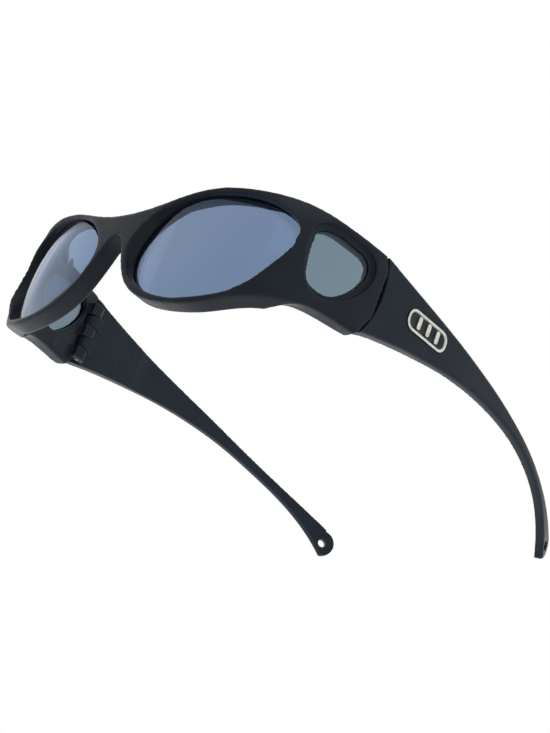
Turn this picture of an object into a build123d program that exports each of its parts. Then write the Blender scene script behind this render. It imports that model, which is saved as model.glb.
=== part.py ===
"""Fitover sunglasses: a wrap front that is worn over a pair of spectacles.

Millimetres, +Z up. The front faces -Y, the temples run along +Y and the wearer's left is +X.
The pair is symmetric about X = 0. It stands on its lower rims and its temple tips at Z = 0,
and Y = 0 is half way between the brow and the tips.
"""
import os
from math import atan2, cos, degrees, radians, sin

from build123d import *

os.makedirs("parts", exist_ok=True)

# Plan of the outer surface, from the bridge outwards: radius and turn of each tangent arc
front_radius, front_turn = 200.0, 10.9
cheek_radius, cheek_turn = 48.0, 23.9
corner_radius, corner_turn = 26.0, 37.4
side_radius, side_turn = 90.0, 13.5
arm_radius, arm_turn = 338.0, 13.0
ear_radius, ear_turn = 143.0, 21.6

# Front frame
frame_height = 40.3
bridge_top = 0.824 * frame_height
nose_arch_top = 0.625 * frame_height
rim_depth = 6.5
side_wall = 4.5
shelf_depth = 8.7
shelf_thickness = 2.3
shelf_drop = 0.7
brow_slope_drop = 2.4
seam_y = 46.6
seam_foot = 3.2
seam_bulge = 1.2
seam_crown = 1.3
seam_gap = 0.35
rim_inner_radius = 0.9

# Front lenses
lens_half_width = 28.3
rim_above_lens = 2.1
rim_below_lens = 1.8
lens_half_height = (frame_height - rim_above_lens - rim_below_lens) / 2
lens_centre_height = rim_below_lens + lens_half_height
lens_station = 36.5
lens_tilt = 15.0
lens_base_radius = 68.0
lens_recess = 2.4
lens_thickness = 2.0
lens_bite = 0.8
seat_clearance = 0.05
lip_depth = 3.5
bevel_depth = 8.0

# Side lenses and their stepped windows
window_width = 24.0
window_height = 0.576 * frame_height
window_centre_height = 0.633 * frame_height
window_station = 82.6
window_tilt = 77.5
window_ledge = 1.9
window_recess = 1.6
side_lens_set = 0.6
side_lens_radius = 88.0
side_lens_thickness = 1.4
side_lens_bite = 0.7

# Temples
temple_thickness = 3.0
temple_root_thickness = 4.2
root_taper_length = 36.0
tip_radius = 0.114 * frame_height
tip_spare = 1.25
lanyard_hole_radius = 1.5
temple_edge_radius = 0.9

# Hinges: three frame knuckles and two temple knuckles on each side
hinge_inset = 5.2
knuckle_radius = 2.5
knuckle_count = 5
knuckle_bottom = 0.333 * frame_height
knuckle_pitch = 0.104 * frame_height
knuckle_gap = 0.16
knuckle_web = 3.0
pocket_clearance = 0.4
screw_radius = 0.75
screw_clearance = 0.05
screw_head_radius = 1.35
screw_head_height = 0.9
screw_slot_width = 0.35
screw_slot_depth = 0.4

# Badges
badge_station = 119.0
badge_height = 0.645 * frame_height
badge_length = 18.0
badge_width = 7.0
badge_corner = 3.0
badge_sheet = 1.1
badge_sink = 0.7
badge_clearance = 0.06
badge_bar_count = 3
badge_bar_pitch = 4.2
badge_bar_width = 1.1
badge_bar_height = 0.35

# One overrun serves every cut
overrun = 20.0

# Outlines drawn by hand as shares of the sizes that they follow.
# Brow and lower edge of the front: share of the half width, share of the frame height
brow_shares = [(0.2, 0.866), (0.42, 0.967), (0.58, 0.998), (0.72, 1.01), (0.88, 1.02), (1.06, 1.03)]
lower_edge_shares = [
    (0.042, 0.580), (0.064, 0.508), (0.094, 0.400), (0.133, 0.282), (0.185, 0.176), (0.268, 0.080),
    (0.38, 0.020), (0.50, 0.0), (0.60, 0.010), (0.72, 0.072), (0.83, 0.139), (0.94, 0.215), (1.06, 0.275),
]
# Lower edge of the side wall: share of the seam's depth, share of the frame height
side_edge_shares = [(0.30, -0.10), (0.40, 0.100), (0.48, 0.200), (0.58, 0.235), (0.78, 0.246), (1.08, 0.290)]
# Seam between the side wall and the temple: its height as shares of the frame height
seam_shares = [0.25, 0.60, 0.95]
# Rear edge of the brow shelf: share of the wall's length to the side, share of the depth past the rim
shelf_shares = [
    (0.0, 0.0), (0.13, 0.0), (0.27, 0.0), (0.40, 0.48), (0.53, 0.86), (0.67, 0.95), (0.80, 1.0), (0.93, 0.86),
]
# Front lip and lens seat: shares of the lens's half width and half height
lip_shares = [
    (1.0, 0.385), (0.945, 0.67), (0.815, 0.825), (0.597, 0.945), (0.283, 1.0), (-0.07, 0.995),
    (-0.42, 0.88), (-0.72, 0.67), (-0.93, 0.395), (-1.03, 0.12), (-0.97, -0.22), (-0.85, -0.495),
    (-0.68, -0.705), (-0.46, -0.88), (-0.07, -1.0), (0.283, -0.945), (0.58, -0.78), (0.765, -0.525),
    (0.93, -0.115), (0.995, 0.19),
]
seat_shares = [
    (0.99, 0.385), (0.93, 0.66), (0.80, 0.81), (0.587, 0.925), (0.283, 0.975), (-0.053, 0.96),
    (-0.37, 0.835), (-0.62, 0.615), (-0.79, 0.34), (-0.87, 0.055), (-0.862, -0.253), (-0.774, -0.516),
    (-0.636, -0.703), (-0.43, -0.868), (-0.07, -0.972), (0.283, -0.923), (0.569, -0.764), (0.75, -0.51),
    (0.915, -0.11), (0.982, 0.19),
]
# Side window: shares of its width and height, measured from its centre
window_shares = [
    (-0.535, 0.15), (-0.535, -0.03), (-0.505, -0.22), (-0.457, -0.366), (-0.38, -0.455), (-0.27, -0.49),
    (-0.09, -0.5), (0.05, -0.45), (0.19, -0.335), (0.325, -0.185), (0.428, 0.005), (0.466, 0.177),
    (0.432, 0.315), (0.345, 0.405), (0.065, 0.466), (-0.175, 0.49), (-0.44, 0.40), (-0.515, 0.30),
]
# Temple edges from the seam to the tip's centre: share of that length, share of the frame height
temple_top_shares = [
    (-0.08, 0.984), (0.0, 0.938), (0.093, 0.881), (0.2, 0.824), (0.305, 0.772), (0.41, 0.717), (0.517, 0.658),
    (0.622, 0.588), (0.727, 0.509), (0.83, 0.419), (0.929, 0.318),
]
temple_bottom_shares = [
    (-0.08, 0.246), (0.0, 0.304), (0.093, 0.372), (0.2, 0.433), (0.305, 0.480), (0.41, 0.506), (0.517, 0.508),
    (0.622, 0.482), (0.727, 0.420), (0.83, 0.328), (0.91, 0.215),
]


def plan_arcs(start_y, inset):
    """Return the outer plan curve moved inwards by an inset, as far as past the temple tip."""
    arcs = [
        (front_radius, front_turn), (cheek_radius, cheek_turn), (corner_radius, corner_turn),
        (side_radius, side_turn), (arm_radius, arm_turn), (ear_radius, ear_turn),
    ]
    with BuildLine() as curve:
        start = (0, start_y + inset)
        tangent = (1, 0)
        for radius, turn in arcs:
            arc = JernArc(start=start, tangent=tangent, radius=radius - inset, arc_size=turn)
            start = arc @ 1
            tangent = arc % 1
    return curve.wires()[0]


# The plan curve from Y = 0 gives the depth, and that sets where the front's apex lies
template = plan_arcs(0, 0)
tip_station = template.length - tip_radius - tip_spare
tip_point = template.position_at(tip_station, position_mode=PositionMode.LENGTH)
tip_tangent = template.tangent_at(tip_station, position_mode=PositionMode.LENGTH)
overall_depth = tip_point.Y + tip_radius * tip_tangent.Y
apex_y = -overall_depth / 2
plan = plan_arcs(apex_y, 0)
seam_front = apex_y + seam_y


def on_plan(station):
    """Return the point of the outer surface at an arc length from the bridge, at Z = 0."""
    return plan.position_at(station, position_mode=PositionMode.LENGTH)


def facing_plane(station, height, tilt):
    """Return a plane that faces out of the surface: local X runs rearwards, local Y is up."""
    origin = on_plan(station) + Vector(0, 0, height)
    return Plane(
        origin=origin,
        x_dir=(cos(radians(tilt)), sin(radians(tilt)), 0),
        z_dir=(sin(radians(tilt)), -cos(radians(tilt)), 0),
    )


def inside_wall(station, inset):
    """Return the plan point that lies an inset inside the outer surface at an arc length."""
    tangent = plan.tangent_at(station, position_mode=PositionMode.LENGTH)
    return on_plan(station) + Vector(-tangent.Y, tangent.X) * inset


def heading(station):
    """Return the direction of the plan curve at an arc length, in degrees from +X."""
    tangent = plan.tangent_at(station, position_mode=PositionMode.LENGTH)
    return degrees(atan2(tangent.Y, tangent.X))


def scaled(shares, width, height):
    """Return outline points from shares of a width and a height."""
    return [(across * width, up * height) for across, up in shares]


def mirrored(points):
    """Return the first points of an outline on the other side of X = 0, from the outside in."""
    return [(-across, up) for across, up in reversed(points)]


def upright_walls(part, radii):
    """Return the upright walls that have one of the given plan radii."""
    walls = part.faces().filter_by(GeomType.CYLINDER)
    return [face for face in walls if any(abs(face.radius - radius) < screw_clearance for radius in radii)]


def running_edges(part, radii):
    """Return the edges that run along the upright walls of given plan radii."""
    edges = [edge for face in upright_walls(part, radii) for edge in face.edges()]
    return ShapeList(edge for edge in edges if abs(edge.tangent_at(0.5).Z) < 0.95)


def outer_rim(part, radii):
    """Return the edges round upright walls of given plan radii, but not those that two of them share."""
    edges = [edge for face in upright_walls(part, radii) for edge in face.edges()]
    single = [edge for edge in edges if sum(edge.is_same(other) for other in edges) == 1]
    return ShapeList(edge for edge in single if edge.center().Y > seam_front + seam_bulge)


lens_plane = facing_plane(lens_station, lens_centre_height, lens_tilt)
window_plane = facing_plane(window_station, window_centre_height, window_tilt)
tip_plane = facing_plane(tip_station, tip_radius, heading(tip_station))
badge_plane = facing_plane(badge_station, badge_height, heading(badge_station))

side_length = radians(front_turn) * front_radius + radians(cheek_turn) * cheek_radius
side_length += radians(corner_turn) * corner_radius
seam_point = on_plan(side_length + radians(side_turn) * side_radius)
half_width = seam_point.X
hinge_x = half_width - hinge_inset
hinge_y = seam_front
knuckle_top = knuckle_bottom + knuckle_count * knuckle_pitch

seam_points = list(zip((-seam_foot, seam_bulge, -seam_crown), seam_shares))
lens_apex = lens_plane.origin - lens_plane.z_dir * lens_recess
lens_centre = lens_apex - lens_plane.z_dir * lens_base_radius
side_lens_apex = window_plane.origin - window_plane.z_dir * (window_recess + side_lens_set)
side_lens_centre = side_lens_apex - window_plane.z_dir * side_lens_radius

lip_points = scaled(lip_shares, lens_half_width, lens_half_height)
seat_points = scaled(seat_shares, lens_half_width, lens_half_height)
window_points = scaled(window_shares, window_width, window_height)


def closed_spline(points, grow=0):
    """Return a smooth closed outline through points, grown by an amount, as two edges."""
    loop = Edge.make_spline([Vector(*point) for point in points], periodic=True)
    if grow:
        grown = []
        for index in range(2 * len(points)):
            share = index / (2 * len(points))
            tangent = loop.tangent_at(share)
            grown.append(loop.position_at(share) + Vector(tangent.Y, -tangent.X) * grow)
        loop = Edge.make_spline(grown, periodic=True)
    return [loop.trim(0, 0.5), loop.trim(0.5, 1)]


def outline_prism(plane, outline_points, grow, start, amount):
    """Return the block that an outline sweeps from a height above its plane."""
    with BuildPart(mode=Mode.PRIVATE) as prism:
        with BuildSketch(plane.offset(start)):
            with BuildLine():
                add(closed_spline(outline_points, grow))
            make_face()
        extrude(amount=amount)
    return prism.part


def lens_shell(outline_points, grow, plane, centre, radius, thickness, slack):
    """Return the piece of a curved sheet inside an outline, grown and thickened by a slack."""
    low = plane.origin.Z - frame_height
    with BuildPart(mode=Mode.PRIVATE) as shell:
        with BuildSketch(Plane.XY.offset(low)):
            with Locations((centre.X, centre.Y)):
                Circle(radius + slack)
                Circle(radius - thickness - slack, mode=Mode.SUBTRACT)
        extrude(amount=2 * frame_height)
        with BuildSketch(plane):
            with BuildLine():
                add(closed_spline(outline_points, grow + slack))
            make_face()
        extrude(amount=2 * rim_depth, both=True, mode=Mode.INTERSECT)
    return shell.part


def brow_shelf():
    """Return the shelf that runs back under the brow and dies away into the side wall."""
    front_length = radians(front_turn) * front_radius
    cheek_length = radians(cheek_turn) * cheek_radius
    rear_line = [
        inside_wall(along * side_length, rim_depth + across * (shelf_depth - rim_depth))
        for along, across in shelf_shares
    ]
    rear_line.append(inside_wall(side_length + side_wall, side_wall / 2))
    front_line = [
        inside_wall(0, rim_depth / 2), inside_wall(front_length / 2, rim_depth / 2),
        inside_wall(front_length, rim_depth / 2), inside_wall(front_length + cheek_length / 2, rim_depth / 2),
        inside_wall(front_length + cheek_length, rim_depth / 2), inside_wall(side_length, side_wall / 2),
    ]
    roof = frame_height - shelf_drop
    brow_points = scaled(brow_shares, half_width, frame_height)
    brow_line = mirrored(brow_points[:2]) + [(0, bridge_top)] + brow_points
    with BuildPart(mode=Mode.PRIVATE) as shelf:
        with BuildSketch(Plane.XY):
            with BuildLine():
                rear_edge = Spline(*rear_line)
                front_edge = Spline(*front_line)
                Line(rear_edge @ 0, front_edge @ 0)
                Line(rear_edge @ 1, front_edge @ 1)
            make_face()
        extrude(amount=frame_height + overrun)
        with BuildSketch(Plane.XZ.offset(-apex_y + overrun)):
            with BuildLine():
                top = Spline(*brow_line)
                under = Spline(*[(across, min(up, roof) - shelf_thickness) for across, up in brow_line])
                Line(top @ 0, under @ 0)
                Line(top @ 1, under @ 1)
            make_face()
        extrude(amount=-overall_depth, mode=Mode.INTERSECT)
        with BuildSketch(Plane.YZ):
            with BuildLine():
                slope = brow_slope_drop / seam_y
                Polyline(
                    (apex_y, 0), (apex_y, frame_height), (seam_front, frame_height - slope * seam_y), (seam_front, 0),
                    close=True,
                )
            make_face()
        extrude(amount=half_width + overrun, mode=Mode.INTERSECT)
    return shelf.part


def seam_prism(shift, towards):
    """Return a tall block on one side of the curved seam, shifted along Y."""
    top = frame_height + overrun
    with BuildPart(mode=Mode.PRIVATE) as block:
        with BuildSketch(Plane.YZ):
            with BuildLine():
                edge = ThreePointArc(
                    *[(seam_front + shift + along, up * frame_height) for along, up in seam_points],
                )
                far = seam_front + towards * overall_depth
                Polyline(edge @ 1, ((edge @ 1).Y, top), (far, top), (far, -overrun), ((edge @ 0).Y, -overrun), edge @ 0)
            make_face()
        extrude(amount=half_width + overrun)
    return block.part


def knuckle_levels(first):
    """Return the bottom of every second knuckle, from the first or the second one up."""
    return [knuckle_bottom + index * knuckle_pitch for index in range(first, knuckle_count, 2)]


def hinge_knuckles(first, towards):
    """Return every second knuckle with the web that joins it to the wall in front or behind."""
    with BuildPart(mode=Mode.PRIVATE) as knuckles:
        for level in knuckle_levels(first):
            with BuildSketch(Plane.XY.offset(level)):
                with Locations((hinge_x, hinge_y)):
                    Circle(knuckle_radius)
                with Locations((hinge_x, hinge_y + towards * knuckle_web / 2)):
                    Rectangle(2 * knuckle_radius, knuckle_web)
            extrude(amount=knuckle_pitch - knuckle_gap)
    return knuckles.part


def hinge_pockets(first):
    """Return the round clearances for the other half's knuckles."""
    with BuildPart(mode=Mode.PRIVATE) as pockets:
        for level in knuckle_levels(first):
            with BuildSketch(Plane.XY.offset(level - knuckle_gap)):
                with Locations((hinge_x, hinge_y)):
                    Circle(knuckle_radius + pocket_clearance)
            extrude(amount=knuckle_pitch + knuckle_gap)
    return pockets.part


def screw_bore():
    """Return the bore of the hinge screw and the counterbore of its head."""
    with BuildPart(mode=Mode.PRIVATE) as bore:
        with BuildSketch(Plane.XY):
            with Locations((hinge_x, hinge_y)):
                Circle(screw_radius + screw_clearance)
        extrude(amount=frame_height)
        with BuildSketch(Plane.XY.offset(knuckle_top - knuckle_gap - screw_head_height - screw_clearance)):
            with Locations((hinge_x, hinge_y)):
                Circle(screw_head_radius + screw_clearance)
        extrude(amount=frame_height)
    return bore.part


def export_pair(part, name):
    """Write a piece as the left one and its mirror image as the right one."""
    for side, copy in (("left", part), ("right", mirror(part, about=Plane.YZ))):
        copy.label = f"{name}_{side}"
        export_step(copy, f"parts/{name}_{side}.step")


# Front frame
with BuildPart() as front_half:
    with BuildSketch(Plane.XY.offset(-overrun)):
        with BuildLine():
            outer = plan_arcs(apex_y, 0)
            add(outer.edges()[:4])
            rear = outer.edges()[3] @ 1
            inner = plan_arcs(apex_y, rim_depth)
            add(inner.edges()[:3])
            inner_corner = inner.edges()[2] @ 1
            Line((0, apex_y), (0, apex_y + rim_depth))
            rear_end = rear + Vector(0, seam_bulge + seam_gap, 0)
            Line(rear, rear_end)
            Polyline(rear_end, (rear.X - side_wall, rear_end.Y), inner_corner)
        make_face()
    extrude(amount=frame_height + 2 * overrun)
    with BuildSketch(Plane.XZ.offset(-apex_y + overrun)):
        with BuildLine():
            brow_points = scaled(brow_shares, half_width, frame_height)
            lower_points = scaled(lower_edge_shares, half_width, frame_height)
            brow = Spline(*mirrored(brow_points[:2]), (0, bridge_top), *brow_points)
            lower = Spline(*mirrored(lower_points[:2]), (0, nose_arch_top), *lower_points)
            Line(brow @ 0, lower @ 0)
            Line(brow @ 1, lower @ 1)
        make_face()
    extrude(amount=-overall_depth, mode=Mode.INTERSECT)
    with BuildSketch(Plane.YZ):
        with BuildLine():
            side_edge = Spline(
                *[(apex_y + along * seam_y, up * frame_height) for along, up in side_edge_shares],
            )
            front_low = (apex_y - overrun, -overrun)
            front_high = (apex_y - overrun, frame_height + brow_slope_drop * overrun / seam_y)
            drop = (seam_front + overrun, frame_height - brow_slope_drop * (seam_y + overrun) / seam_y)
            Polyline(side_edge @ 0, ((side_edge @ 0).X, -overrun), front_low, front_high, drop,
                     (seam_front + overrun, (side_edge @ 1).Y), side_edge @ 1)
        make_face()
    extrude(amount=half_width + overrun, mode=Mode.INTERSECT)

    # The rims' inner edges are rounded towards the spectacles underneath
    inner_radii = [front_radius - rim_depth, cheek_radius - rim_depth, corner_radius - rim_depth]
    fillet(running_edges(front_half.part, inner_radii), radius=rim_inner_radius)

    # The shelf keeps light out between the brow and the spectacles
    add(brow_shelf())

    # Lens aperture: a straight lip, a bevel down to the seat, the seat and the lens's groove
    add(outline_prism(lens_plane, lip_points, 0, -lip_depth, overrun), mode=Mode.SUBTRACT)
    with BuildSketch(lens_plane.offset(-lip_depth)):
        with BuildLine():
            add(closed_spline(lip_points))
        make_face()
    with BuildSketch(lens_plane.offset(-bevel_depth)):
        with BuildLine():
            add(closed_spline(seat_points))
        make_face()
    loft(mode=Mode.SUBTRACT)
    add(outline_prism(lens_plane, seat_points, 0, -lip_depth, -overrun), mode=Mode.SUBTRACT)
    add(
        lens_shell(seat_points, lens_bite, lens_plane, lens_centre, lens_base_radius, lens_thickness,
                   seat_clearance),
        mode=Mode.SUBTRACT,
    )

    # Side window: a recess that follows the wall, then the opening
    add(
        lens_shell(window_points, 0, window_plane, side_lens_centre, side_lens_radius + side_lens_set + overrun,
                   overrun, 0),
        mode=Mode.SUBTRACT,
    )
    add(outline_prism(window_plane, window_points, -window_ledge, overrun, -2 * overrun), mode=Mode.SUBTRACT)
    add(seam_prism(0, 1), mode=Mode.SUBTRACT)

    # Hinge: pockets for the temple's knuckles, the frame's own knuckles and the screw's bore
    add(hinge_pockets(1), mode=Mode.SUBTRACT)
    add(hinge_knuckles(0, -1))
    add(screw_bore(), mode=Mode.SUBTRACT)

    # The side lens's groove runs on behind the knuckles
    add(
        lens_shell(window_points, side_lens_bite - window_ledge, window_plane, side_lens_centre,
                   side_lens_radius, side_lens_thickness, seat_clearance),
        mode=Mode.SUBTRACT,
    )

with BuildPart() as front_frame:
    add(front_half.part)
    mirror(front_half.part, about=Plane.YZ)
front_frame.part.label = "front_frame"
export_step(front_frame.part, "parts/front_frame.step")

# Front lenses
lens_left = lens_shell(seat_points, lens_bite, lens_plane, lens_centre, lens_base_radius, lens_thickness, 0)
export_pair(lens_left, "lens")

# Side lenses
side_lens_left = lens_shell(
    window_points, side_lens_bite - window_ledge, window_plane, side_lens_centre, side_lens_radius,
    side_lens_thickness, 0,
)
export_pair(side_lens_left, "side_lens")

# Temple: a curved strip cut to its side outline, with a paddle tip
temple_length = tip_plane.origin.Y - seam_front
with BuildPart() as temple:
    with BuildSketch(Plane.XY):
        with BuildLine():
            skin = plan_arcs(apex_y, 0).edges()[3:]
            lining = plan_arcs(apex_y, temple_thickness).edges()[3:]
            add(skin)
            add(lining)
            Line(skin[0] @ 0, lining[0] @ 0)
            Line(skin[-1] @ 1, lining[-1] @ 1)
        make_face()
        with BuildLine():
            root = seam_point - Vector(temple_root_thickness, seam_foot, 0)
            taper = lining[1].position_at(root_taper_length, position_mode=PositionMode.LENGTH)
            middle = skin[1].position_at(root_taper_length, position_mode=PositionMode.LENGTH)
            middle = (middle + taper) / 2
            Polyline(root, taper, middle, seam_point - Vector(temple_thickness / 2, seam_foot, 0), close=True)
        make_face()
    extrude(amount=frame_height)
    with BuildSketch(Plane.YZ):
        with BuildLine():
            top_points = [(seam_front + along * temple_length, up * frame_height) for along, up in temple_top_shares]
            low_points = [
                (seam_front + along * temple_length, up * frame_height) for along, up in temple_bottom_shares
            ]
            tip_top = (tip_plane.origin.Y, 2 * tip_radius)
            tip_low = (tip_plane.origin.Y, 0)
            end_y = tip_plane.origin.Y + overrun
            top_edge = Spline(*top_points, tip_top)
            low_edge = Spline(*low_points, tip_low)
            Line(top_edge @ 0, low_edge @ 0)
            Polyline(tip_top, (end_y, 2 * tip_radius), (end_y, 0), tip_low)
        make_face()
    extrude(amount=half_width + overrun, mode=Mode.INTERSECT)
    with BuildSketch(tip_plane):
        Rectangle(2 * tip_radius, 4 * tip_radius, align=(Align.MIN, Align.CENTER))
        Circle(tip_radius, mode=Mode.SUBTRACT)
    extrude(amount=overrun, both=True, mode=Mode.SUBTRACT)
    fillet(outer_rim(temple.part, [arm_radius, ear_radius]), radius=temple_edge_radius)
    with BuildSketch(tip_plane):
        Circle(lanyard_hole_radius)
    extrude(amount=overrun, both=True, mode=Mode.SUBTRACT)
    add(seam_prism(seam_gap, -1), mode=Mode.SUBTRACT)
    add(hinge_pockets(0), mode=Mode.SUBTRACT)
    add(hinge_knuckles(1, 1))
    add(screw_bore(), mode=Mode.SUBTRACT)
    with BuildSketch(badge_plane.offset(-badge_sink)):
        RectangleRounded(
            badge_length + 2 * badge_clearance, badge_width + 2 * badge_clearance, badge_corner + badge_clearance
        )
    extrude(amount=overrun, mode=Mode.SUBTRACT)

export_pair(temple.part, "temple")

# Hinge screw: a plain shaft with a slotted head let into the top knuckle
with BuildPart() as hinge_screw:
    with BuildSketch(Plane.XY.offset(knuckle_bottom)):
        with Locations((hinge_x, hinge_y)):
            Circle(screw_radius)
    extrude(amount=knuckle_top - knuckle_bottom - knuckle_gap)
    with BuildSketch(Plane.XY.offset(knuckle_top - knuckle_gap)):
        with Locations((hinge_x, hinge_y)):
            Circle(screw_head_radius)
    extrude(amount=-screw_head_height)
    with BuildSketch(Plane.XY.offset(knuckle_top - knuckle_gap)):
        with Locations((hinge_x, hinge_y)):
            Rectangle(2 * screw_head_radius, screw_slot_width)
    extrude(amount=-screw_slot_depth, mode=Mode.SUBTRACT)
export_pair(hinge_screw.part, "hinge_screw")

# Badge: a plain metal plaque with three parallel bars
with BuildPart() as badge:
    with BuildSketch(badge_plane.offset(badge_clearance - badge_sink)):
        RectangleRounded(badge_length, badge_width, badge_corner)
    extrude(amount=badge_sheet)
    with BuildSketch(badge_plane.offset(badge_clearance - badge_sink + badge_sheet)):
        with GridLocations(badge_bar_pitch, 0, badge_bar_count, 1):
            SlotOverall(badge_width - 2 * badge_bar_width, badge_bar_width, rotation=90)
    extrude(amount=badge_bar_height)
export_pair(badge.part, "badge")
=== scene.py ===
"""Fitover sunglasses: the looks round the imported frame.

Everything is in metres, +Z up, the front faces -Y, the temples run along +Y and the wearer's left is +X.
The wrap front and the temples are remodelled from copies of their solids with rounded edges, the lenses are
curved tinted sheets and the badges are small plated plaques with a generic device.
"""
from __future__ import annotations

import logging
import math
from collections.abc import Iterable
from dataclasses import dataclass, field
from enum import Enum
from functools import cached_property

import bpy
from mathutils import Euler, Matrix, Vector, kdtree

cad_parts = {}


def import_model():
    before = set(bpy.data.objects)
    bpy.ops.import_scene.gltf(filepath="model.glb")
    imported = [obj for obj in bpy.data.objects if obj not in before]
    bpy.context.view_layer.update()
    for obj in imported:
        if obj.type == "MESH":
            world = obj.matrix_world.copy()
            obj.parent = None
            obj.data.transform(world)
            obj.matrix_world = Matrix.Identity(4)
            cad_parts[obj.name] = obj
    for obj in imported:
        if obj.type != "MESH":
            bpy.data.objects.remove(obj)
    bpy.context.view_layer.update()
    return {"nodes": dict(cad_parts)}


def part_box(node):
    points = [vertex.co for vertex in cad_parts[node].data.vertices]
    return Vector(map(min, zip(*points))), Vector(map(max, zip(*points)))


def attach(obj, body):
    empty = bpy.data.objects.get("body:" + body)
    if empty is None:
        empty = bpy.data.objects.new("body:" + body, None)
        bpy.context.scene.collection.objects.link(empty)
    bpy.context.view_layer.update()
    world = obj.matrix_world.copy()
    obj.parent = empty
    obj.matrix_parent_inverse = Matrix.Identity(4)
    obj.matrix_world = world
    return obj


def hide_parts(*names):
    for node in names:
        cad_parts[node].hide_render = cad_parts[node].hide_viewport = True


LOG = logging.getLogger("fitover")
MM = 0.001
WELD = 0.001 * MM
# Share of the way to its neighbours' middle that a smoothing pass moves a vertex
SMOOTHING = 0.5
# The badge's middle: its length along the wall's plan and its height
BADGE_STATION = 119.0 * MM
BADGE_HEIGHT = 25.99 * MM
# How far the remeshed faces' grid is turned away from the pieces' own directions
ASKEW = Euler((0.62, 0.44, 0.78)).to_matrix().to_4x4()
Rgba = tuple[float, float, float, float]
Segment = tuple[Vector, Vector]


class Side(Enum):
    """The two sides of the wearer, with the sign of X on each."""

    LEFT = 1
    RIGHT = -1

    @property
    def word(self) -> str:
        """The side's name as the nodes write it."""
        return self.name.lower()


def linear(hex_colour: str) -> Rgba:
    """Turn an sRGB hex colour to linear light.

    Args:
        hex_colour: Six hex digits after a hash.

    Returns:
        Linear red, green, blue and an alpha of one.
    """
    shares = [int(hex_colour[place:place + 2], 16) / 255 for place in (1, 3, 5)]
    red, green, blue = (s / 12.92 if s <= 0.04045 else ((s + 0.055) / 1.055) ** 2.4 for s in shares)
    return red, green, blue, 1.0


def add_node(
    tree: bpy.types.NodeTree,
    kind: str,
    inputs: dict[str | int, object] | None = None,
    **settings: object,
) -> bpy.types.Node:
    """Add a node with its settings, its values and its links.

    Args:
        tree: The tree that takes the node.
        kind: The node's type name.
        inputs: Value or output socket for each input, by name or index.
        settings: Attributes of the node itself.

    Returns:
        The new node.
    """
    node = tree.nodes.new(kind)
    for name, value in settings.items():
        setattr(node, name, value)
    for place, value in (inputs or {}).items():
        socket = node.inputs[place]
        if isinstance(value, bpy.types.NodeSocket):
            tree.links.new(value, socket)
        else:
            socket.default_value = value
    return node


def new_tree(name: str) -> tuple[bpy.types.Material, bpy.types.NodeTree]:
    """Return an empty node material and its tree."""
    material = bpy.data.materials.new(name)
    material.use_nodes = True
    material.node_tree.nodes.clear()
    return material, material.node_tree


def noise(
    tree: bpy.types.NodeTree,
    place: bpy.types.NodeSocket,
    size: float,
    detail: float,
    distortion: float = 0.0,
) -> bpy.types.NodeSocket:
    """Add a noise pattern.

    Args:
        tree: The tree that takes it.
        place: The place on the object.
        size: The pattern's size in metres.
        detail: How many finer patterns lie on it.
        distortion: How far it is warped.

    Returns:
        The pattern's value.
    """
    inputs = {"Vector": place, "Scale": 1.0 / size, "Detail": detail, "Distortion": distortion}
    return add_node(tree, "ShaderNodeTexNoise", inputs).outputs["Fac"]


def either(
    tree: bpy.types.NodeTree, one: bpy.types.NodeSocket, other: bpy.types.NodeSocket,
) -> bpy.types.NodeSocket:
    """Return a socket that is on where one or the other of two is on."""
    return add_node(tree, "ShaderNodeMath", {0: one, 1: other}, operation="MAXIMUM").outputs[0]


def ramp(
    tree: bpy.types.NodeTree, factor: bpy.types.NodeSocket, stops: Iterable[tuple[float, Rgba]],
) -> bpy.types.Node:
    """Add a colour ramp with the given stops.

    Args:
        tree: The tree that takes the ramp.
        factor: The socket that drives it.
        stops: Place and colour of each stop, in order.

    Returns:
        The ramp.
    """
    node = add_node(tree, "ShaderNodeValToRGB", {"Fac": factor})
    elements = node.color_ramp.elements
    for index, (place, colour) in enumerate(stops):
        stop = elements[index] if index < len(elements) else elements.new(place)
        stop.position = place
        stop.color = colour
    return node


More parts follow.
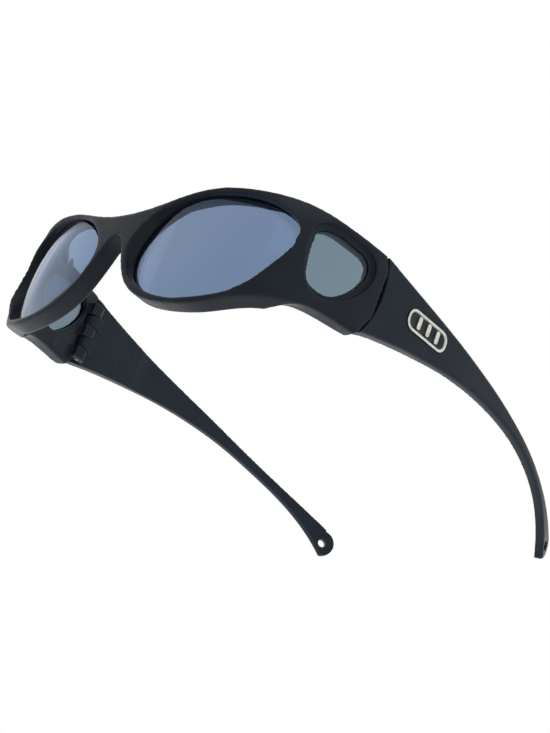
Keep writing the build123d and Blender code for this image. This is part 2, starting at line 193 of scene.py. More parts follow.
@dataclass(frozen=True)
class MouldedNylon:
    """Injection-moulded polyamide: dark, satin, with a fine spark-eroded grain and paler worn edges.

    The satin is the roughness at the glossiest and at the dullest spot. Stops and ranges are values of the
    patterns, and the index is the refractive one.
    """

    name: str
    shade: str
    mottle: str
    worn: str
    satin: tuple[float, float]
    sheen_level: float
    mottle_size: float = 14 * MM
    grain_size: float = 0.35 * MM
    grain_height: float = 0.012 * MM
    flow_size: float = 6 * MM
    sheen_tint: str = "#cddaea"
    mottle_stops: tuple[float, float] = (0.35, 0.68)
    worn_range: tuple[float, float] = (0.52, 0.60)
    worn_share: float = 0.55
    flow_range: tuple[float, float] = (0.3, 0.7)
    index: float = 1.53

    def material(self) -> bpy.types.Material:
        """Return the finish as a node material."""
        material, tree = new_tree(self.name)
        place = add_node(tree, "ShaderNodeTexCoord").outputs["Object"]
        shades = linear(self.mottle), linear(self.shade)
        body = ramp(tree, noise(tree, place, self.mottle_size, 3.0), zip(self.mottle_stops, shades))
        edge = add_node(tree, "ShaderNodeNewGeometry").outputs["Pointiness"]
        wear = add_node(
            tree, "ShaderNodeMapRange",
            {
                "Value": edge,
                "From Min": self.worn_range[0],
                "From Max": self.worn_range[1],
                "To Max": self.worn_share,
            },
        )
        colour = add_node(
            tree, "ShaderNodeMix",
            {"Factor": wear.outputs["Result"], 6: body.outputs["Color"], 7: linear(self.worn)},
            data_type="RGBA",
        )
        gloss = add_node(
            tree, "ShaderNodeMapRange",
            {
                "Value": noise(tree, place, self.flow_size, 4.0, distortion=0.6),
                "From Min": self.flow_range[0],
                "From Max": self.flow_range[1],
                "To Min": self.satin[0],
                "To Max": self.satin[1],
            },
        )
        grain = noise(tree, place, self.grain_size, 2.0)
        bump = add_node(
            tree, "ShaderNodeBump", {"Height": grain, "Strength": 0.5, "Distance": self.grain_height},
        )
        shader = add_node(
            tree, "ShaderNodeBsdfPrincipled",
            {
                "Base Color": colour.outputs[2],
                "Roughness": gloss.outputs["Result"],
                "Normal": bump.outputs["Normal"],
                "IOR": self.index,
                "Specular IOR Level": self.sheen_level,
                "Specular Tint": linear(self.sheen_tint),
            },
        )
        add_node(tree, "ShaderNodeOutputMaterial", {"Surface": shader.outputs["BSDF"]})
        return material


@dataclass(frozen=True)
class TintedLens:
    """Dyed polarising lens sheet: clear, smooth and blue-grey, with a faint waviness from its forming."""

    name: str
    tint: str
    edge_tint: str
    coating: str = "#a8ccff"
    wave_size: float = 22 * MM
    wave_height: float = 0.004 * MM
    tint_stops: tuple[float, float] = (0.3, 0.75)
    polish: float = 0.02
    index: float = 1.52

    def material(self) -> bpy.types.Material:
        """Return the finish as a node material."""
        material, tree = new_tree(self.name)
        place = add_node(tree, "ShaderNodeTexCoord").outputs["Object"]
        shades = linear(self.tint), linear(self.edge_tint)
        colour = ramp(tree, noise(tree, place, 2 * self.wave_size, 1.0), zip(self.tint_stops, shades))
        wave = noise(tree, place, self.wave_size, 0.0)
        bump = add_node(
            tree, "ShaderNodeBump", {"Height": wave, "Strength": 0.3, "Distance": self.wave_height},
        )
        shader = add_node(
            tree, "ShaderNodeBsdfPrincipled",
            {
                "Base Color": colour.outputs["Color"],
                "Roughness": self.polish,
                "IOR": self.index,
                "Specular Tint": linear(self.coating),
                "Transmission Weight": 1.0,
                "Normal": bump.outputs["Normal"],
            },
        )
        add_node(tree, "ShaderNodeOutputMaterial", {"Surface": shader.outputs["BSDF"]})
        return material


@dataclass(frozen=True)
class PlatedMetal:
    """Nickel-plated or polished steel: bright and slightly warm, with fine handling marks."""

    name: str
    shade: str
    dull: str
    polish: tuple[float, float]
    mark_size: float = 1.2 * MM
    mark_stops: tuple[float, float] = (0.3, 0.6)

    def material(self) -> bpy.types.Material:
        """Return the finish as a node material."""
        material, tree = new_tree(self.name)
        place = add_node(tree, "ShaderNodeTexCoord").outputs["Object"]
        marks = noise(tree, place, self.mark_size, 5.0)
        colour = ramp(tree, marks, zip(self.mark_stops, (linear(self.dull), linear(self.shade))))
        polish = add_node(
            tree, "ShaderNodeMapRange",
            {"Value": marks, "To Min": self.polish[0], "To Max": self.polish[1]},
        )
        shader = add_node(
            tree, "ShaderNodeBsdfPrincipled",
            {"Base Color": colour.outputs["Color"], "Metallic": 1.0, "Roughness": polish.outputs["Result"]},
        )
        add_node(tree, "ShaderNodeOutputMaterial", {"Surface": shader.outputs["BSDF"]})
        return material


def select_only(piece: bpy.types.Object) -> None:
    """Deselect everything and make one piece active and selected."""
    bpy.ops.object.select_all(action="DESELECT")
    bpy.context.view_layer.objects.active = piece
    piece.select_set(True)


def modify(piece: bpy.types.Object, kind: str, **settings: object) -> None:
    """Add a modifier to a piece and apply it.

    Args:
        piece: The piece.
        kind: The modifier's type.
        settings: The modifier's attributes.
    """
    modifier = piece.modifiers.new(kind.lower(), kind)
    for name, value in settings.items():
        setattr(modifier, name, value)
    select_only(piece)
    bpy.ops.object.modifier_apply(modifier=modifier.name)


def merged_copy(node: bpy.types.Object, name: str) -> bpy.types.Object:
    """Return a copy of a node's mesh with its loose triangles joined.

    Args:
        node: The node to copy.
        name: The new piece's name.

    Returns:
        The copy, at the origin.
    """
    piece = bpy.data.objects.new(name, node.data.copy())
    bpy.context.scene.collection.objects.link(piece)
    piece.data.materials.clear()
    select_only(piece)
    bpy.ops.object.mode_set(mode="EDIT")
    bpy.ops.mesh.select_all(action="SELECT")
    bpy.ops.mesh.remove_doubles(threshold=WELD)
    bpy.ops.object.mode_set(mode="OBJECT")
    return piece


def remesh(piece: bpy.types.Object, solid: bpy.types.Object, voxel: float) -> None:
    """Remake a piece from small even faces that lie on its solid.

    The faces' grid lies askew, so that no edge of the piece runs along it and comes out in steps.

    Args:
        piece: The piece, with the solid's shape.
        solid: The solid that the faces are drawn onto.
        voxel: The faces' size.
    """
    piece.data.transform(ASKEW)
    modify(piece, "REMESH", mode="VOXEL", voxel_size=voxel, use_smooth_shade=True)
    piece.data.transform(ASKEW.inverted())
    modify(piece, "SHRINKWRAP", target=solid, wrap_method="NEAREST_SURFACEPOINT")


def wall_rims(piece: bpy.types.Object, seed: Vector, bend: float) -> list[list[Segment]]:
    """Find the edge loops that bound a smooth wall.

    Args:
        piece: The mesh piece that has the wall.
        seed: A point on the wall.
        bend: The sharpest turn between two faces of the wall, in degrees.

    Returns:
        The loops as lists of edges, the one that reaches furthest across first.
    """
    mesh = piece.data
    select_only(piece)
    bpy.ops.object.mode_set(mode="EDIT")
    bpy.ops.mesh.select_mode(type="FACE")
    bpy.ops.mesh.select_all(action="DESELECT")
    bpy.ops.object.mode_set(mode="OBJECT")
    first = min(mesh.polygons, key=lambda face: (face.center - seed).length)
    first.select = True
    bpy.ops.object.mode_set(mode="EDIT")
    bpy.ops.mesh.faces_select_linked_flat(sharpness=math.radians(bend))
    bpy.ops.mesh.region_to_loop()
    bpy.ops.object.mode_set(mode="OBJECT")
    joined: dict[int, list[int]] = {}
    for edge in mesh.edges:
        if edge.select:
            one, two = edge.vertices
            joined.setdefault(one, []).append(two)
            joined.setdefault(two, []).append(one)
    rims = []
    left = set(joined)
    while left:
        reached: set[int] = set()
        waiting = [min(left)]
        while waiting:
            corner = waiting.pop()
            if corner not in reached:
                reached.add(corner)
                waiting.extend(joined[corner])
        left -= reached
        pairs = {tuple(sorted((one, two))) for one in reached for two in joined[one]}
        rims.append([tuple(mesh.vertices[end].co.copy() for end in pair) for pair in sorted(pairs)])
    rims.sort(key=lambda rim: max(s[0].x for s in rim) - min(s[0].x for s in rim), reverse=True)
    return rims


def dotted(segments: Iterable[Segment], step: float) -> list[Vector]:
    """Return points along edges, no further apart than a step."""
    points = []
    for start, end in segments:
        count = int((end - start).length / step) + 1
        points.extend(start.lerp(end, index / count) for index in range(count + 1))
    return points


def smooth_part(piece: bpy.types.Object, indices: list[int], passes: int) -> None:
    """Smooth some vertices of a dense mesh.

    Args:
        piece: The mesh piece.
        indices: The vertices that move.
        passes: How often each moves half way to its neighbours' middle.
    """
    piece.vertex_groups.new(name="part").add(indices, 1.0, "REPLACE")
    modify(piece, "SMOOTH", vertex_group="part", factor=SMOOTHING, iterations=passes)
    piece.vertex_groups.remove(piece.vertex_groups["part"])


def weigh_near(piece: bpy.types.Object, name: str, points: list[Vector], core: float, reach: float) -> None:
    """Weigh the vertices near some points into a vertex group.

    Args:
        piece: The mesh piece.
        name: The vertex group's name.
        points: The points that the weight falls away from.
        core: The distance within which the weight is one.
        reach: The distance past which it is nothing.
    """
    tree = kdtree.KDTree(len(points))
    for index, point in enumerate(points):
        tree.insert(point, index)
    tree.balance()
    group = piece.vertex_groups.new(name=name)
    for vertex in piece.data.vertices:
        weight = (reach - tree.find(vertex.co)[2]) / (reach - core)
        if weight > 0:
            group.add([vertex.index], min(1.0, weight), "REPLACE")


def soften(
    piece: bpy.types.Object, name: str, points: list[Vector], core: float, reach: float, passes: int,
) -> None:
    """Round the edges of a dense mesh near some points.

    Args:
        piece: The mesh piece.
        name: A name for these edges.
        points: Points along the edges.
        core: The distance within which the rounding is full.
        reach: The distance past which there is none.
        passes: How often each vertex moves half way to its neighbours' middle.
    """
    weigh_near(piece, name, points, core, reach)
    modify(piece, "SMOOTH", vertex_group=name, factor=SMOOTHING, iterations=passes)
    piece.vertex_groups.remove(piece.vertex_groups[name])


def press(piece: bpy.types.Object, place: Vector, core: float, reach: float, depth: float) -> None:
    """Push a round spot of a dense mesh in along its normals, or out where the depth is negative.

    Args:
        piece: The mesh piece.
        place: The spot's middle.
        core: The radius within which the push is full.
        reach: The radius past which there is none.
        depth: How far in it goes.
    """
    weigh_near(piece, "spot", [place], core, reach)
    modify(piece, "DISPLACE", vertex_group="spot", strength=-depth, mid_level=0.0)
    piece.vertex_groups.remove(piece.vertex_groups["spot"])


def smooth_step(low: float, high: float, value: float) -> float:
    """Return how far a value has gone from low to high, easing in and out."""
    share = min(1.0, max(0.0, (value - low) / (high - low)))
    return share * share * (3 - 2 * share)


@dataclass(frozen=True)
class Bend:
    """An arc of a plan: its centre, radius, first and last heading, and the length of the plan before it."""

    centre_x: float
    centre_y: float
    radius: float
    first: float
    last: float
    before: float


@dataclass
class WallPlan:
    """Plan of the outer wall: tangent arcs from the bridge outwards, the same on both sides.

    Each arc is its radius in metres and its turn in degrees. The swell bulges the rims' corners outwards, and
    the lip rises round the lens's outer end. A span is a middle and a half height. Stations are lengths along
    the plan, where a form starts, is full, starts to fall and ends. The lip fades into the wall across its
    skin.
    """

    apex_y: float = -85.7164 * MM
    arcs: tuple[tuple[float, float], ...] = (
        (200 * MM, 10.9), (48 * MM, 23.9), (26 * MM, 37.4),
        (90 * MM, 13.5), (338 * MM, 13.0), (143 * MM, 21.6),
    )
    swell_depth: float = 1.8 * MM
    swell_span: tuple[float, float] = (20 * MM, 18 * MM)
    brow_share: float = 0.25
    swell_stations: tuple[float, float, float, float] = (25 * MM, 50 * MM, 58 * MM, 76 * MM)
    lip_height: float = 2.9 * MM
    lip_span: tuple[float, float] = (24 * MM, 15 * MM)
    lip_skin: tuple[float, float] = (0.4 * MM, 2.2 * MM)
    lip_stations: tuple[float, float, float, float] = (52 * MM, 66 * MM, 71 * MM, 79 * MM)
    probe: float = 0.05 * MM

    @cached_property
    def bends(self) -> list[Bend]:
        """The arcs from the bridge to the temple's tip, worked out once."""
        found = []
        x, y, heading, before = 0.0, self.apex_y, 0.0, 0.0
        for radius, turn in self.arcs:
            centre_x = x - radius * math.sin(heading)
            centre_y = y + radius * math.cos(heading)
            last = heading + math.radians(turn)
            found.append(Bend(centre_x, centre_y, radius, heading, last, before))
            x = centre_x + radius * math.sin(last)
            y = centre_y - radius * math.cos(last)
            before += radius * (last - heading)
            heading = last
        return found

    def station(self, length: float) -> tuple[Vector, float]:
        """Return the wall's point on the wearer's left at an arc length, and the heading there in radians."""
        for bend in self.bends:
            heading = bend.first + (length - bend.before) / bend.radius
            if heading <= bend.last:
                x = bend.centre_x + bend.radius * math.sin(heading)
                y = bend.centre_y - bend.radius * math.cos(heading)
                return Vector((x, y, 0)), heading
        raise ValueError("the station lies past the end of the wall")

    def beside(self, point: Vector) -> tuple[Bend, float, float, float] | None:
        """Return the arc beside a point, the heading there and the point's way from the arc's centre."""
        for bend in self.bends:
            across, along = abs(point.x) - bend.centre_x, point.y - bend.centre_y
            heading = math.atan2(along, across) + math.pi / 2
            if bend.first <= heading <= bend.last:
                return bend, heading, across, along
        return None

    def place(self, point: Vector) -> tuple[float, Vector, float] | None:
        """Return the length of plan up to a point, the way out there and how far inside the wall it lies."""
        found = self.beside(point)
        if found is None:
            return None
        bend, heading, across, along = found
        out = math.hypot(across, along)
        sign = 1 if point.x >= 0 else -1
        length = bend.before + bend.radius * (heading - bend.first)
        return length, Vector((sign * across / out, along / out, 0)), bend.radius - out

    def swelled(self, point: Vector, proud: bool = False) -> Vector:
        """Move a point with the bulge of the rims' corners between brow and foot.

        Args:
            point: The point.
            proud: Whether the wall's skin also rises as a lip round the lens's outer end.

        Returns:
            The moved point.
        """
        found = self.place(point)
        if found is None:
            return point
        length, out, inset = found
        start, full, corner, end = self.swell_stations
        share = smooth_step(start, full, length) * (1 - smooth_step(corner, end, length))
        bow = 1 - ((point.z - self.swell_span[0]) / self.swell_span[1]) ** 2
        depth = share * self.swell_depth * max(bow, self.brow_share * bow)
        if proud:
            rise, crest, ridge, fall = self.lip_stations
            share = smooth_step(rise, crest, length) * (1 - smooth_step(ridge, fall, length))
            bow = max(0.0, 1 - ((point.z - self.lip_span[0]) / self.lip_span[1]) ** 2)
            depth += share * bow * self.lip_height * (1 - smooth_step(*self.lip_skin, inset))
        return point + out * depth

    def facing(self, point: Vector, level: Vector) -> Vector:
        """Return the way out of an upright surface once it is bulged.

        Args:
            point: A point of the surface before the bulge.
            level: The level way along the surface there.

        Returns:
            The normal, of length one.
        """
        here = self.swelled(point)
        along = self.swelled(point + level * self.probe) - here
        upwards = self.swelled(point + Vector((0, 0, self.probe))) - here
        return along.cross(upwards).normalized()

    def true_up(self, piece: bpy.types.Object, insets: tuple[float, ...], core: float, reach: float) -> None:
        """Draw the vertices almost on the wall onto its exact arcs, so that it reflects without facets.

        Args:
            piece: The mesh piece.
            insets: How far inside the outer wall each smooth wall lies.
            core: The distance within which a vertex goes all the way.
            reach: The distance past which it stays.
        """
        for vertex in piece.data.vertices:
            found = self.beside(vertex.co)
            if found is None:
                continue
            bend, _, across, along = found
            out = math.hypot(across, along)
            sign = 1 if vertex.co.x >= 0 else -1
            for inset in insets:
                gap = bend.radius - inset - out
                share = min(1.0, max(0.0, (reach - abs(gap)) / (reach - core)))
                if share > 0:
                    scale = (out + gap * share) / out
                    vertex.co.x = sign * (bend.centre_x + across * scale)
                    vertex.co.y = bend.centre_y + along * scale
                    break


@dataclass
class Studio:
    """Camera, lamps, floor and background: a pale sweep under soft light."""

    aim: Vector = field(default_factory=lambda: Vector((0, -25.7 * MM, 18.0 * MM)))
    azimuth: float = 52.274
    elevation: float = -22.7248
    roll: float = 21.0721
    distance: float = 637.0 * MM
    lens: float = 98.02
    shift: tuple[float, float] = (0.05174, -0.0147)
    sensor: float = 36.0
    nearest: float = 10 * MM
    floor_size: float = 6.0
    floor_drop: float = 0.3 * MM

    def camera(self) -> None:
        """Place the camera where the photograph was taken from."""
        turn, rise, roll = (math.radians(angle) for angle in (self.azimuth, self.elevation, self.roll))
        back = Vector((math.sin(turn) * math.cos(rise), -math.cos(turn) * math.cos(rise), math.sin(rise)))
        level = Vector((math.cos(turn), math.sin(turn), 0))
        right = level * math.cos(roll) + back.cross(level) * math.sin(roll)
        up = back.cross(right)
        data = bpy.data.cameras.new("camera")
        data.sensor_width = self.sensor
        data.lens = self.lens
        data.shift_x, data.shift_y = self.shift
        data.clip_start = self.nearest
        camera = bpy.data.objects.new("camera", data)
        bpy.context.scene.collection.objects.link(camera)
        turned = Matrix((right, up, back)).transposed()
        camera.matrix_world = Matrix.Translation(self.aim + back * self.distance) @ turned.to_4x4()
        bpy.context.scene.camera = camera

    def lamp(
        self, name: str, place: Vector, size: tuple[float, float], power: float, mirrored: bool = False,
    ) -> None:
        """Hang a rectangular soft lamp that points at the object.

        Args:
            name: The lamp's name.
            place: Where it hangs.
            size: Its width and height.
            power: Its power in watts.
            mirrored: Whether the object reflects the lamp itself.
        """
        data = bpy.data.lights.new(name, "AREA")
        data.shape = "RECTANGLE"
        data.size, data.size_y = size
        data.energy = power
        lamp = bpy.data.objects.new(name, data)
        lamp.location = place
        lamp.rotation_euler = (self.aim - place).to_track_quat("-Z", "Y").to_euler()
        lamp.visible_glossy = mirrored
        bpy.context.scene.collection.objects.link(lamp)

    def floor(self) -> None:
        """Lay the pale floor, which is clear from below because the photograph looks up at the object.

        It lets the lamp under it through, and mirrors and lenses see it as white as the background.
        """
        bpy.ops.object.select_all(action="DESELECT")
        bpy.ops.mesh.primitive_plane_add(size=self.floor_size, location=(0, 0, -self.floor_drop))
        floor = bpy.context.active_object
        floor.name = "floor"
        material, tree = new_tree("pale_paper_sweep")
        path = add_node(tree, "ShaderNodeLightPath").outputs
        below = add_node(tree, "ShaderNodeNewGeometry").outputs["Backfacing"]
        gone = either(tree, below, path["Is Shadow Ray"])
        mirrored = either(tree, path["Is Glossy Ray"], path["Is Transmission Ray"])
        paper = add_node(tree, "ShaderNodeBsdfDiffuse", {"Color": linear("#ececec"), "Roughness": 0.6})
        white = add_node(tree, "ShaderNodeEmission", {"Color": (1, 1, 1, 1), "Strength": 1.0})
        clear = add_node(tree, "ShaderNodeBsdfTransparent", {"Color": (1, 1, 1, 1)})
        seen = add_node(
            tree, "ShaderNodeMixShader",
            {0: mirrored, 1: paper.outputs["BSDF"], 2: white.outputs["Emission"]},
        )
        mixed = add_node(
            tree, "ShaderNodeMixShader", {0: gone, 1: seen.outputs["Shader"], 2: clear.outputs["BSDF"]},
        )
        add_node(tree, "ShaderNodeOutputMaterial", {"Surface": mixed.outputs["Shader"]})
        floor.data.materials.append(material)

    def background(self) -> None:
        """Make the world white to the camera, in mirrors and through the lenses, and a soft grey as light."""
        world = bpy.data.worlds.new("sweep_light")
        bpy.context.scene.world = world
        world.use_nodes = True
        tree = world.node_tree
        tree.nodes.clear()
        path = add_node(tree, "ShaderNodeLightPath").outputs
        mirrored = either(tree, path["Is Glossy Ray"], path["Is Transmission Ray"])
        seen = either(tree, path["Is Camera Ray"], mirrored)
        colour = add_node(
            tree, "ShaderNodeMix",
            {"Factor": seen, 6: linear("#b4b8be"), 7: (1, 1, 1, 1)},
            data_type="RGBA",
        )
        light = add_node(tree, "ShaderNodeBackground", {"Color": colour.outputs[2], "Strength": 1.0})
        add_node(tree, "ShaderNodeOutputWorld", {"Surface": light.outputs["Background"]})

    def build(self) -> None:
        """Set up the whole studio."""
        self.camera()
        self.floor()
        self.background()
        self.lamp("key", Vector((0.55, -0.75, 0.95)), (0.9, 0.9), 6.0)
        self.lamp("side", Vector((1.1, 0.35, 0.55)), (0.6, 1.0), 3.5)
        self.lamp("fill", Vector((-0.9, -0.4, 0.7)), (0.8, 0.8), 3.0)
        self.lamp("under", Vector((0.1, 0.1, -0.9)), (1.2, 1.2), 17.0, mirrored=True)
        bpy.context.scene.view_settings.view_transform = "Standard"


@dataclass
class FrontFrame:
    """The moulded wrap front: rims, bridge, brow shelf and side walls in one piece.

    A core and a reach are the distances from an edge within which its rounding is full and past which there is
    none. The gate and the boss are small moulding marks beside the nose, each a place and then its core, reach
    and depth. The sides are calmed from a distance across up to an end before the seam.
    """

    nodes: dict[str, bpy.types.Object]
    plan: WallPlan
    finish: bpy.types.Material
    voxel: float = 0.40 * MM
    rim_depth: float = 6.5 * MM
    brow_core: float = 1.6 * MM
    brow_reach: float = 3.4 * MM
    brow_passes: int = 44
    calm_passes: int = 4
    calm_from: float = 60 * MM
    calm_end: float = 6.4 * MM
    brow_floor: float = 28.0 * MM
    foot_core: float = 1.2 * MM
    foot_reach: float = 2.8 * MM
    foot_passes: int = 28
    lip_core: float = 0.5 * MM
    lip_reach: float = 1.1 * MM
    lip_passes: int = 6
    gate: tuple[float, float, float] = (6.0 * MM, -82.9 * MM, 24.0 * MM)
    gate_size: tuple[float, float, float] = (1.0 * MM, 1.8 * MM, 0.55 * MM)
    boss: tuple[float, float, float] = (9.0 * MM, -82.7 * MM, 16.1 * MM)
    boss_size: tuple[float, float, float] = (0.4 * MM, 1.4 * MM, -0.35 * MM)
    seam_margin: float = 3.2 * MM
    wall_bend: float = 12.0
    wall_seed: float = 30 * MM
    wall_pull: tuple[float, float] = (0.05 * MM, 0.12 * MM)
    dot_step: float = 0.5 * MM

    def round_edges(self, piece: bpy.types.Object, rims: list[list[Segment]], rear: float) -> None:
        """Round the wall's brow, its foot and the lips of its openings, and calm the sides' faces.

        Args:
            piece: The front's dense mesh.
            rims: The wall's edge loops, the outer one first.
            rear: Where the front ends towards the temples.
        """
        outer = [(a, b) for a, b in rims[0] if max(a.y, b.y) < rear - self.seam_margin]
        brow = dotted([(a, b) for a, b in outer if a.z > self.brow_floor], self.dot_step)
        foot = dotted([(a, b) for a, b in outer if a.z <= self.brow_floor], self.dot_step)
        lips = dotted([edge for rim in rims[1:] for edge in rim], self.dot_step)
        soften(piece, "brow", brow, self.brow_core, self.brow_reach, self.brow_passes)
        soften(piece, "foot", foot, self.foot_core, self.foot_reach, self.foot_passes)
        soften(piece, "lips", lips, self.lip_core, self.lip_reach, self.lip_passes)
        calm = [
            vertex.index for vertex in piece.data.vertices
            if abs(vertex.co.x) > self.calm_from and vertex.co.y < rear - self.calm_end
        ]
        smooth_part(piece, calm, self.calm_passes)

    def build(self) -> bpy.types.Object:
        """Model the front with rounded edges and dress it."""
        node = self.nodes["front_frame"]
        solid = merged_copy(node, "front_solid")
        low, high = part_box("front_frame")
        rims = wall_rims(solid, Vector((0, low.y, self.wall_seed)), self.wall_bend)
        LOG.info("the front's wall has %d rims, of %s edges", len(rims), [len(rim) for rim in rims])
        piece = merged_copy(node, "wrap_front")
        remesh(piece, solid, self.voxel)
        self.plan.true_up(piece, (0.0, self.rim_depth), *self.wall_pull)
        self.round_edges(piece, rims, high.y)
        for side in Side:
            for (across, along, up), spot in ((self.gate, self.gate_size), (self.boss, self.boss_size)):
                press(piece, Vector((side.value * across, along, up)), *spot)
        for vertex in piece.data.vertices:
            vertex.co = self.plan.swelled(vertex.co, proud=True)
        bpy.data.objects.remove(solid)
        piece.data.materials.append(self.finish)
        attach(piece, "front")
        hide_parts("front_frame")
        LOG.info("%s has %d faces", piece.name, len(piece.data.polygons))
        return piece


@dataclass
class Temple:
    """One moulded temple: a broad root that tapers to a drop-shaped tip with a lanyard hole.

    A pull is the distances from a wall within which a vertex goes onto it and past which it stays. The room of
    the badge is half its length and half its height.
    """

    nodes: dict[str, bpy.types.Object]
    plan: WallPlan
    side: Side
    finish: bpy.types.Material
    voxel: float = 0.36 * MM
    thickness: float = 3.0 * MM
    outer_pull: tuple[float, float] = (0.04 * MM, 0.10 * MM)
    inner_pull: tuple[float, float] = (0.30 * MM, 0.60 * MM)
    passes: int = 9
    seam_end: float = -35.5 * MM
    badge_room: tuple[float, float] = (10.5 * MM, 5.0 * MM)

    def is_free(self, point: Vector) -> bool:
        """Return whether a point lies clear of the seam, the hinge and the badge's pocket."""
        found = self.plan.place(point)
        if point.y < self.seam_end or found is None:
            return found is None
        beside = abs(found[0] - BADGE_STATION) < self.badge_room[0]
        return not (beside and abs(point.z - BADGE_HEIGHT) < self.badge_room[1])

    def build(self) -> bpy.types.Object:
        """Model the temple from its solid and dress it."""
        name = f"temple_{self.side.word}"
        solid = merged_copy(self.nodes[name], "temple_solid")
        piece = merged_copy(self.nodes[name], f"temple_arm_{self.side.word}")
        remesh(piece, solid, self.voxel)
        self.plan.true_up(piece, (0.0,), *self.outer_pull)
        self.plan.true_up(piece, (self.thickness,), *self.inner_pull)
        smooth_part(piece, [v.index for v in piece.data.vertices if self.is_free(v.co)], self.passes)
        bpy.data.objects.remove(solid)
        piece.data.materials.append(self.finish)
        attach(piece, name)
        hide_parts(name)
        LOG.info("%s has %d faces", piece.name, len(piece.data.polygons))
        return piece


@dataclass(frozen=True)
class SheetForm:
    """A bent sheet: its upright axis on the wearer's left, its outer radius and its thickness."""

    axis: tuple[float, float]
    radius: float
    thickness: float


FRONT_FORM = SheetForm((18.0769 * MM, -14.3939 * MM), 68 * MM, 2 * MM)
SIDE_FORM = SheetForm((-20.0026 * MM, -34.1801 * MM), 88 * MM, 1.4 * MM)


@dataclass
class LensSheet:
    """A lens of the front or of a side window, cut from a sheet that is bent round an upright axis.

    A vertex within reach of one of its two faces is drawn onto it, and one within touch lies on it. What
    turns away from the radius, with a cosine under the edge's turn, is the lens's edge.
    """

    nodes: dict[str, bpy.types.Object]
    plan: WallPlan
    side: Side
    node: str
    slot: str
    finish: bpy.types.Material
    # Black painted shade for the lens's cut edge
    edge_painted_shade: bpy.types.Material
    form: SheetForm
    voxel: float = 0.36 * MM
    reach: float = 0.15 * MM
    edge_turn: float = 0.8
    touch: float = 0.002 * MM

    @cached_property
    def axis(self) -> tuple[float, float]:
        """The place of the sheet's axis on this side."""
        return self.side.value * self.form.axis[0], self.form.axis[1]

    @cached_property
    def faces(self) -> tuple[float, float]:
        """The radii of the sheet's outer and inner face."""
        return self.form.radius, self.form.radius - self.form.thickness

    def from_axis(self, point: Vector) -> Vector:
        """Return the level way from the sheet's axis to a point."""
        return Vector((point.x - self.axis[0], point.y - self.axis[1], 0))

    def draw_on(self, piece: bpy.types.Object) -> None:
        """Draw the vertices near the sheet's two faces onto them."""
        axis_x, axis_y = self.axis
        for vertex in piece.data.vertices:
            across, along = vertex.co.x - axis_x, vertex.co.y - axis_y
            out = math.hypot(across, along)
            for face in self.faces:
                if abs(out - face) < self.reach:
                    vertex.co.x = axis_x + across * face / out
                    vertex.co.y = axis_y + along * face / out
                    break

    def swell(self, piece: bpy.types.Object) -> None:
        """Bulge the lens with the front's wall, and give its two faces their exact normals.

        A vertex of the edge gets no normal of its own, so Blender's stays there.
        """
        outer, inner = self.faces
        normals = []
        for vertex in piece.data.vertices:
            way = self.from_axis(vertex.co)
            outwards = (abs(way.length - outer) < self.touch) - (abs(way.length - inner) < self.touch)
            way.normalize()
            normals.append(self.plan.facing(vertex.co, Vector((-way.y, way.x, 0))) * outwards)
        for vertex in piece.data.vertices:
            vertex.co = self.plan.swelled(vertex.co)
        piece.data.normals_split_custom_set_from_vertices(normals)

    def build(self) -> bpy.types.Object:
        """Model the lens, with black painted shade on the edge round its clear faces, and dress it."""
        name = f"{self.node}_{self.side.word}"
        solid = merged_copy(self.nodes[name], "lens_solid")
        piece = merged_copy(self.nodes[name], f"{name}_sheet")
        remesh(piece, solid, self.voxel)
        self.draw_on(piece)
        bpy.data.objects.remove(solid)
        piece.data.materials.append(self.finish)
        piece.data.materials.append(self.edge_painted_shade)
        # The edge's faces get the black painted shade
        for face in piece.data.polygons:
            if abs(face.normal.dot(self.from_axis(face.center).normalized())) < self.edge_turn:
                face.material_index = 1
        self.swell(piece)
        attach(piece, "front")
        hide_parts(name)
        LOG.info("%s has %d faces", piece.name, len(piece.data.polygons))
        return piece


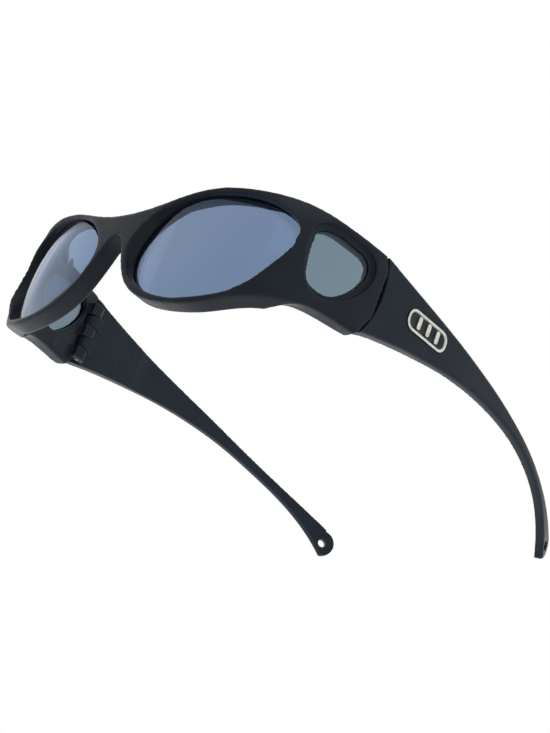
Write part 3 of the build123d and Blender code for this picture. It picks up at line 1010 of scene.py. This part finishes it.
@dataclass
class Badge:
    """A small plated plaque let into the temple: a raised rim, a dark field and three parallel bars."""

    plan: WallPlan
    side: Side
    metal: bpy.types.Material
    enamel: bpy.types.Material
    length: float = 18.0 * MM
    width: float = 7.0 * MM
    corner: float = 3.0 * MM
    sheet: float = 1.1 * MM
    base: float = -0.64 * MM
    rim: float = 0.85 * MM
    sunk: float = 0.35 * MM
    bar_pitch: float = 4.2 * MM
    bar_size: tuple[float, float] = (1.5 * MM, 4.2 * MM)
    bar_top: float = 0.80 * MM
    edge: float = 0.14 * MM
    bar_corner: float = 0.45
    corner_steps: int = 12
    edge_steps: int = 3
    bevel_turn: float = 50.0
    smooth_turn: float = 40.0
    level_slack: float = 0.01 * MM
    upright: float = 0.9

    def slab(
        self, name: str, size: tuple[float, float], corner: float, place: Vector, rise: float,
    ) -> bpy.types.Object:
        """Model a slab with rounded corners.

        Args:
            name: The slab's name.
            size: Its length and width.
            corner: Its corner radius.
            place: The middle of its underside.
            rise: Its height.

        Returns:
            The slab, with its upper face selected.
        """
        bpy.ops.object.select_all(action="DESELECT")
        bpy.ops.mesh.primitive_plane_add(size=1, location=(0, 0, 0))
        slab = bpy.context.active_object
        slab.name = name
        bpy.ops.object.mode_set(mode="EDIT")
        bpy.ops.mesh.select_all(action="SELECT")
        bpy.ops.transform.resize(value=(size[0], size[1], 1))
        bpy.ops.transform.translate(value=place)
        bpy.ops.mesh.bevel(offset=corner, segments=self.corner_steps, affect="VERTICES")
        bpy.ops.mesh.select_all(action="SELECT")
        bpy.ops.mesh.extrude_region_move(TRANSFORM_OT_translate={"value": (0, 0, rise)})
        bpy.ops.object.mode_set(mode="OBJECT")
        return slab

    def build(self) -> bpy.types.Object:
        """Model the plaque on the temple's wall and dress it."""
        name = f"badge_{self.side.word}"
        base = Vector((0, 0, self.base))
        plaque = self.slab(
            f"plaque_{self.side.word}", (self.length, self.width), self.corner, base, self.sheet,
        )
        bpy.ops.object.mode_set(mode="EDIT")
        bpy.ops.mesh.inset(thickness=self.rim)
        bpy.ops.mesh.extrude_region_move(TRANSFORM_OT_translate={"value": (0, 0, -self.sunk)})
        bpy.ops.mesh.select_all(action="SELECT")
        bpy.ops.mesh.normals_make_consistent(inside=False)
        bpy.ops.object.mode_set(mode="OBJECT")
        plaque.data.materials.append(self.metal)
        plaque.data.materials.append(self.enamel)
        field_level = self.base + self.sheet - self.sunk
        for face in plaque.data.polygons:
            if abs(face.center.z - field_level) < self.level_slack and face.normal.z > self.upright:
                face.material_index = 1
        bars = []
        for index in (-1, 0, 1):
            foot = Vector((index * self.bar_pitch, 0, field_level - self.edge))
            corner = self.bar_corner * self.bar_size[0]
            bar = self.slab("bar", self.bar_size, corner, foot, self.bar_top - field_level + self.edge)
            bpy.ops.object.mode_set(mode="EDIT")
            bpy.ops.mesh.select_all(action="SELECT")
            bpy.ops.mesh.normals_make_consistent(inside=False)
            bpy.ops.object.mode_set(mode="OBJECT")
            bar.data.materials.append(self.metal)
            bars.append(bar)
        select_only(plaque)
        for bar in bars:
            bar.select_set(True)
        bpy.ops.object.join()
        modify(
            plaque, "BEVEL", width=self.edge, segments=self.edge_steps, limit_method="ANGLE",
            angle_limit=math.radians(self.bevel_turn),
        )
        point, heading = self.plan.station(BADGE_STATION)
        sign = self.side.value
        out = Vector((sign * math.sin(heading), -math.cos(heading), 0))
        along = Vector((math.cos(heading), sign * math.sin(heading), 0))
        turned = Matrix((along, Vector((0, 0, 1)), out)).transposed().to_4x4()
        plaque.data.transform(Matrix.Translation((sign * point.x, point.y, BADGE_HEIGHT)) @ turned)
        select_only(plaque)
        bpy.ops.object.shade_smooth_by_angle(angle=math.radians(self.smooth_turn))
        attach(plaque, f"temple_{self.side.word}")
        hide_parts(name)
        LOG.info("%s has %d faces", plaque.name, len(plaque.data.polygons))
        return plaque


def dress_node(node: bpy.types.Object, finish: bpy.types.Material) -> None:
    """Give a node that keeps its shape a finish."""
    node.data.materials.clear()
    node.data.materials.append(finish)
    LOG.info("%s dressed in %s", node.name, finish.name)


def main() -> None:
    """Build the scene round the frame."""
    logging.basicConfig(level=logging.INFO, format="%(name)s %(message)s")
    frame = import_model()
    nodes = frame["nodes"]
    Studio().build()
    plan = WallPlan()
    # Near-black satin body with broad soft highlights, a little paler where edges wear
    front_nylon = MouldedNylon(
        "moulded_nylon_front", "#1b1f24", "#171b1f", "#2c3238", (0.28, 0.40), 0.13,
    ).material()
    # The same moulding a touch bluer and glossier, so that the temples part from the front
    temple_nylon = MouldedNylon(
        "moulded_nylon_temple", "#1c2228", "#191e24", "#2c343c", (0.26, 0.38), 0.14,
    ).material()
    # Blue-grey see-through sheet with a cool reflection
    front_tint = TintedLens("dyed_polarised_sheet", "#687f9b", "#707f9c").material()
    # Greener and greyer see-through sheet than the front's
    side_tint = TintedLens("dyed_side_sheet", "#627480", "#6c7f8a", "#c8dcf0").material()
    # Painted shade: black on each lens's cut edge, so it stays as dark as a shaded groove where light would
    # else leak through it
    lens_edge = MouldedNylon(
        "lens_edge_painted_shade", "#0e1014", "#0b0d10", "#14181c", (0.4, 0.5), 0.08,
    ).material()
    # Bright, slightly warm silver on the badges' rims and bars
    plate = PlatedMetal("nickel_plated_zinc", "#d6d7cf", "#b9bbb4", (0.12, 0.28)).material()
    # Duller grey metal on the hinge screws
    steel = PlatedMetal("turned_stainless_steel", "#b9bab8", "#8f9190", (0.22, 0.38)).material()
    # Glossy black ground behind the badges' bars
    enamel = MouldedNylon(
        "black_enamel_field", "#0b0c0e", "#090a0c", "#1a1c1f", (0.12, 0.2), 0.4,
    ).material()
    FrontFrame(nodes, plan, front_nylon).build()
    for side in Side:
        Temple(nodes, plan, side, temple_nylon).build()
        LensSheet(nodes, plan, side, "lens", "lens", front_tint, lens_edge, FRONT_FORM).build()
        LensSheet(nodes, plan, side, "side_lens", "side_lens", side_tint, lens_edge, SIDE_FORM).build()
        Badge(plan, side, plate, enamel).build()
        dress_node(nodes[f"hinge_screw_{side.word}"], steel)


if __name__ == "__main__":
    main()
